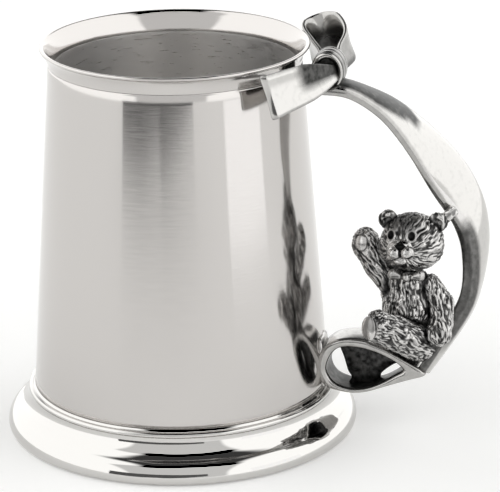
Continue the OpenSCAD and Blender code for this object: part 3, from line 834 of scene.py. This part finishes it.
def scroll_field(p):
    """Distance to the block of the scroll, from its outline."""
    q = p + SEAT - vec(SCROLL_X, 0, SCROLL_Z)
    near = q[:, 2] < SCROLL_TOP
    seen = q[near][:, [0, 2]]
    edge = np.full(len(seen), 1e9)
    inside = np.zeros(len(seen), bool)
    corners = outer[::OUTLINE_STEP]
    for a, b in zip(corners, np.roll(corners, -1, 0)):
        ab = b - a
        t = np.clip(((seen - a) @ ab) / (ab @ ab), 0, 1)
        edge = np.minimum(edge, np.linalg.norm(seen - a - t[:, None] * ab, axis=1))
        crosses = (a[1] > seen[:, 1]) != (b[1] > seen[:, 1])
        meets = a[0] + (seen[:, 1] - a[1]) / np.where(b[1] == a[1], 1, b[1] - a[1]) * ab[0]
        inside ^= crosses & (seen[:, 0] < meets)
    beside = np.abs(q[:, 1] - (SCROLL_NEAR + SCROLL_W / 2)) - SCROLL_W / 2
    d = np.full(len(q), FAR_AWAY)
    d[near] = np.maximum(np.where(inside, -edge, edge), beside[near])
    return d


def ribbon_field(p):
    """Distance below the ribbon's middle sheet, roughly, for cutting the bear where the ribbon passes."""
    q = p + SEAT
    best, which = np.full(len(q), 1e9), np.zeros(len(q), int)
    for i in range(0, steps, 2):
        d = np.abs(q[:, 2] - middle[i, 2]) + 0.35 * np.abs(q[:, 0] - middle[i, 0])
        w = d < best
        best[w], which[w] = d[w], i
    i = which
    n, f = near_line[i], far_line[i]
    hi, lo = np.minimum(i + 2, steps - 1), np.maximum(i - 2, 0)
    along = near_line[hi] + far_line[hi] - near_line[lo] - far_line[lo]
    across = unit(f - n)
    out = unit(np.cross(along, across))
    r = q - (n + f) / 2
    w = np.linalg.norm(f - n, axis=1) / 2
    depth = np.sum(r * out, 1)
    side = np.abs(np.sum(r * across, 1)) - w
    return np.maximum(np.abs(depth + RIBBON_T / 2) - RIBBON_T / 2 - 0.1, side)


def face_detail(v):
    e = eyes(v)
    push = -0.45 * smoothstep(0.12, -0.55, e)
    # Painted shade: the top of the head towards its left is darkened; the eye pits are dark in their own
    # right
    head_top_shade = smoothstep(26.8, 29.0, v[:, 2]) * smoothstep(4.5, 0.0, v[:, 0])
    patina_and_shade = np.maximum(smoothstep(0.14, -0.02, e), 0.72 * head_top_shade)
    return push, patina_and_shade, smoothstep(0.1, 0.5, e)


def muzzle_detail(v):
    front = smoothstep(-2.6, -3.4, v[:, 1])
    (nx, nz), (rx, rz) = NOSE
    nose = np.abs(v[:, 0] - nx) / rx + np.maximum(v[:, 2] - nz, (nz - v[:, 2]) * 0.9) / rz - 1
    line = np.minimum(line_distance(v, MOUTH), line_distance(v, LIP))
    push = -0.22 * smoothstep(0.34, 0.05, line) * front
    patina_and_shade = np.maximum(smoothstep(0.12, -0.06, nose), 0.95 * smoothstep(0.36, 0.16, line)) * front
    return push, patina_and_shade, 0.3 * smoothstep(0.1, 0.6, np.minimum(nose, line))


def raised_detail(v):
    pad = ellipsoid(v, (-10.0, 0.9, 24.2), (1.5, 1.4, 1.9))
    edge = smoothstep(0.28, 0.0, np.abs(pad))
    return -0.14 * edge, 0.85 * edge, smoothstep(-0.3, 0.2, pad)


def ear_hollows(v):
    """Dark in the hollow of each ear."""
    away = np.minimum(*(np.linalg.norm(v - [x, 0.1, 29.1], axis=1) for x in (-4.5, 5.5)))
    return np.zeros(len(v)), 0.9 * smoothstep(1.35, 0.8, away), np.ones(len(v))


def sole_edge(v):
    """A thin dark line round the sole pads."""
    return np.zeros(len(v)), 0.95 * smoothstep(0.42, 0.12, soles(v)), smoothstep(0.1, 0.5, soles(v))


def strokes_along(*settings):
    return lambda v: fur(v, *settings)


bear_piece("bear_body", torso, (-7, -6, -2.5), (8, 6.5, 21), strokes_along((0, 0, 20), (0.4, 0, 0), 11), 0.17,
           carve=(scroll_field, ribbon_field),
           crease=(skull, raised_arm, lowered_arm, near_leg, far_leg, tie))
bear_piece("bear_head", skull, (-7, -6, 18), (8, 8, 32), fur_head, 0.15,
           carve=(torso,), crease=(torso, tie), extra=face_detail)
bear_piece("bear_muzzle", muzzle, (-5, -8, 20), (4, 0, 28),
           lambda v: 0.3 + 0.5 * fur(v, (-0.8, -6, 24), (-0.8, 0, 24), 21), 0.05,
           carve=(skull,), extra=muzzle_detail, step=FINE_STEP)
bear_piece("bear_ears", ears, (-8, -2, 26), (9, 4, 33),
           strokes_along((0, 1, 26), (0, 1, 32), 31, 0.45, 1.3), 0.1,
           carve=(skull,), crease=(skull,), extra=ear_hollows)
bear_piece("bear_tie", tie, (-4.5, -7, 17), (4.5, -2, 21.5), None, 0,
           carve=(torso, skull), base=-0.3, extra=tie_creases, step=FINEST_STEP)
bear_piece("bear_raised_arm", raised_arm, (-13, -2, 11), (1, 8, 28),
           strokes_along((-3, 1, 15), (-9, 4, 23), 51), 0.15,
           carve=(torso, skull), crease=(torso, skull), extra=raised_detail)
bear_piece("bear_lowered_arm", lowered_arm, (1, -7, 4), (11, 4, 20),
           strokes_along((5, 0, 16), (7, -3, 8), 61), 0.16,
           carve=(torso, ribbon_field), crease=(torso, near_leg))
bear_piece("bear_near_leg", near_leg, (-9, -15, -1), (8, 4, 16),
           strokes_along((2, -2, 4.6), (-4.6, -10, 11), 71), 0.18,
           carve=(torso, lowered_arm, scroll_field), crease=(torso, lowered_arm), extra=sole_edge)
bear_piece("bear_far_leg", far_leg, (-9, -3, 0), (7, 14.5, 15),
           strokes_along((2, 2, 5), (-4.6, 10, 10), 81), 0.16,
           carve=(torso, scroll_field, ribbon_field), crease=(torso,), extra=sole_edge)
bear_piece("bear_sole_pads", soles, (-9, -16, 7), (-1, 16, 15),
           strokes_along((-5, 0, 8), (-5, 0, 14), 91, 0.9, 2), 0.06,
           carve=(near_leg, far_leg), base=-0.4)


def web_to_ribbon(p):
    return cone(p, (6.2, 1.6, 29.2), (8.1, 2.6, 31.0), 1.0, 1.2)


bear_piece("ear_web", web_to_ribbon, (4, -1, 27), (11, 6, 33.5),
           strokes_along((6, 1.6, 29), (8.6, 2, 31), 95, 0.45, 1.2), 0.1,
           carve=(skull, ears, ribbon_field), crease=(skull,), base=-0.3)

# ---- Floor, light and camera ----

# Turn of the camera and the studio round the mug, from its front
TURN = np.radians(13.5)

floor_mesh = bpy.data.meshes.new("floor")
floor_mesh.from_pydata([(-40, -40, 0), (40, -40, 0), (40, 40, 0), (-40, 40, 0)], [], [(0, 1, 2, 3)])
floor = bpy.data.objects.new("floor", floor_mesh)
bpy.context.scene.collection.objects.link(floor)
pale = bpy.data.materials.new("pale_floor")
pale.use_nodes = True
pale_shader = pale.node_tree.nodes["Principled BSDF"]
pale_shader.inputs["Base Color"].default_value = (0.93, 0.93, 0.925, 1)
pale_shader.inputs["Roughness"].default_value = 0.9
pale_shader.inputs["Specular IOR Level"].default_value = 0.1
pale_shader.inputs["Emission Color"].default_value = (1, 1, 1, 1)
pale_shader.inputs["Emission Strength"].default_value = 0.14
floor_mesh.materials.append(pale)
floor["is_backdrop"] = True


def card(name, corners, strength):
    """A sheet out of the picture: black to shade a reflection, or bright to light one."""
    mesh = bpy.data.meshes.new(name)
    mesh.from_pydata([tuple(vec(*c) * MM) for c in corners], [], [tuple(range(len(corners)))])
    obj = bpy.data.objects.new(name, mesh)
    bpy.context.scene.collection.objects.link(obj)
    material = bpy.data.materials.new(name)
    material.use_nodes = True
    shader = material.node_tree.nodes["Principled BSDF"]
    shader.inputs["Base Color"].default_value = (0.02, 0.02, 0.02, 1)
    shader.inputs["Roughness"].default_value = 0.9
    shader.inputs["Emission Color"].default_value = (1, 1, 1, 1)
    shader.inputs["Emission Strength"].default_value = strength
    mesh.materials.append(material)
    obj.visible_camera = False
    obj.visible_shadow = False
    obj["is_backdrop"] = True


def from_camera(azimuth, distance, z):
    """Place at an angle from the camera's side of the mug, positive to its right."""
    a = np.radians(azimuth) + TURN
    return (distance * np.sin(a), -distance * np.cos(a), z)


dark_corners = ((-46, 404, 4), (-30, 376, 6), (-16, 364, 16), (-12, 363, 9), (2, 368, 18), (14, 385, 28),
                (14, 385, 84), (-46, 404, 84))
bright_corners = ((40, 260, 0), (74, 260, 0), (74, 260, 60), (40, 260, 60))
card("dark_card", [from_camera(*corner) for corner in dark_corners], 0.08)
card("bright_card", [from_camera(*corner) for corner in bright_corners], 1.45)

SOFT_BOX, PANEL, STRIP = 1.6, 0.85, 0.06
world = bpy.data.worlds.new("studio")
bpy.context.scene.world = world
world.use_nodes = True
wt = world.node_tree
wt.nodes.clear()
w_out = wt.nodes.new("ShaderNodeOutputWorld")
w_bg = wt.nodes.new("ShaderNodeBackground")
wt.links.new(w_bg.outputs[0], w_out.inputs[0])


def w_node(kind, **values):
    n = wt.nodes.new(kind)
    for key, value in values.items():
        setattr(n, key, value)
    return n


def w_math(op, *inputs):
    n = w_node("ShaderNodeMath", operation=op)
    for i, value in enumerate(inputs):
        if isinstance(value, (int, float)):
            n.inputs[i].default_value = value
        else:
            wt.links.new(value, n.inputs[i])
    return n.outputs[0]


def w_step(low, high, value):
    n = w_node("ShaderNodeMapRange", interpolation_type="SMOOTHSTEP")
    n.inputs["From Min"].default_value, n.inputs["From Max"].default_value = low, high
    wt.links.new(value, n.inputs[0])
    return n.outputs[0]


w_at = w_node("ShaderNodeTexCoord")
w_turn = w_node("ShaderNodeMapping")
w_turn.inputs["Rotation"].default_value = (0, 0, -TURN)
wt.links.new(w_at.outputs["Generated"], w_turn.inputs[0])
w_xyz = w_node("ShaderNodeSeparateXYZ")
wt.links.new(w_turn.outputs[0], w_xyz.inputs[0])
wx, wy, wz = w_xyz.outputs
# A dark strip overhead that runs to the back, and a grey panel in front, between two large soft boxes
strip_deep = w_math("MULTIPLY", w_step(-0.44, -0.34, wy), w_step(0.36, 0.5, wz))
strip_wide = w_math("MULTIPLY", w_step(-0.36, -0.26, wx), w_math("SUBTRACT", 1, w_step(0.34, 0.46, wx)))
strip = w_math("MULTIPLY", strip_deep, strip_wide)
panel_deep = w_math("MULTIPLY", w_math("SUBTRACT", 1, w_step(-0.3, -0.22, wy)), w_step(0.0, 0.02, wz))
panel_wide = w_math("MULTIPLY", w_step(-0.6, -0.54, wx), w_math("SUBTRACT", 1, w_step(0.42, 0.48, wx)))
panel = w_math("MULTIPLY", panel_deep, panel_wide)
level = w_math("SUBTRACT", w_math("SUBTRACT", SOFT_BOX, w_math("MULTIPLY", strip, SOFT_BOX - STRIP)),
               w_math("MULTIPLY", panel, SOFT_BOX - PANEL))
wt.links.new(level, w_bg.inputs["Strength"])
w_bg.inputs["Color"].default_value = (1, 1, 0.99, 1)

EL, YAW, PITCH, ROLL = np.radians([22.3747, 1.4894, -18.9889, -0.8068])
SENSOR = 36
DISTANCE, FOCAL = 595.18, 207.2484
place = vec(0, -DISTANCE * np.cos(EL), DISTANCE * np.sin(EL))
ahead = vec(np.sin(YAW) * np.cos(PITCH), np.cos(YAW) * np.cos(PITCH), np.sin(PITCH))
right = unit(np.cross(ahead, [0, 0, 1]))
up = np.cross(right, ahead)
right, up = right * np.cos(ROLL) + up * np.sin(ROLL), up * np.cos(ROLL) - right * np.sin(ROLL)
turn = np.array([[np.cos(TURN), -np.sin(TURN), 0], [np.sin(TURN), np.cos(TURN), 0], [0, 0, 1]])
place, ahead, right, up = (turn @ q for q in (place, ahead, right, up))
camera_data = bpy.data.cameras.new("camera")
camera_data.lens, camera_data.sensor_width, camera_data.clip_start = FOCAL, SENSOR, 0.01
camera = bpy.data.objects.new("camera", camera_data)
bpy.context.scene.collection.objects.link(camera)
m = np.eye(4)
m[:3, 0], m[:3, 1], m[:3, 2], m[:3, 3] = right, up, -ahead, place * MM
camera.matrix_world = Matrix(m.tolist())
bpy.context.scene.camera = camera
bpy.context.scene.view_settings.view_transform = "Standard"

bpy.context.view_layer.update()
({name: [[float(c) for c in corner] for corner in box]
           for name, box in (("cad", cad_box), ("visual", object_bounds()))})
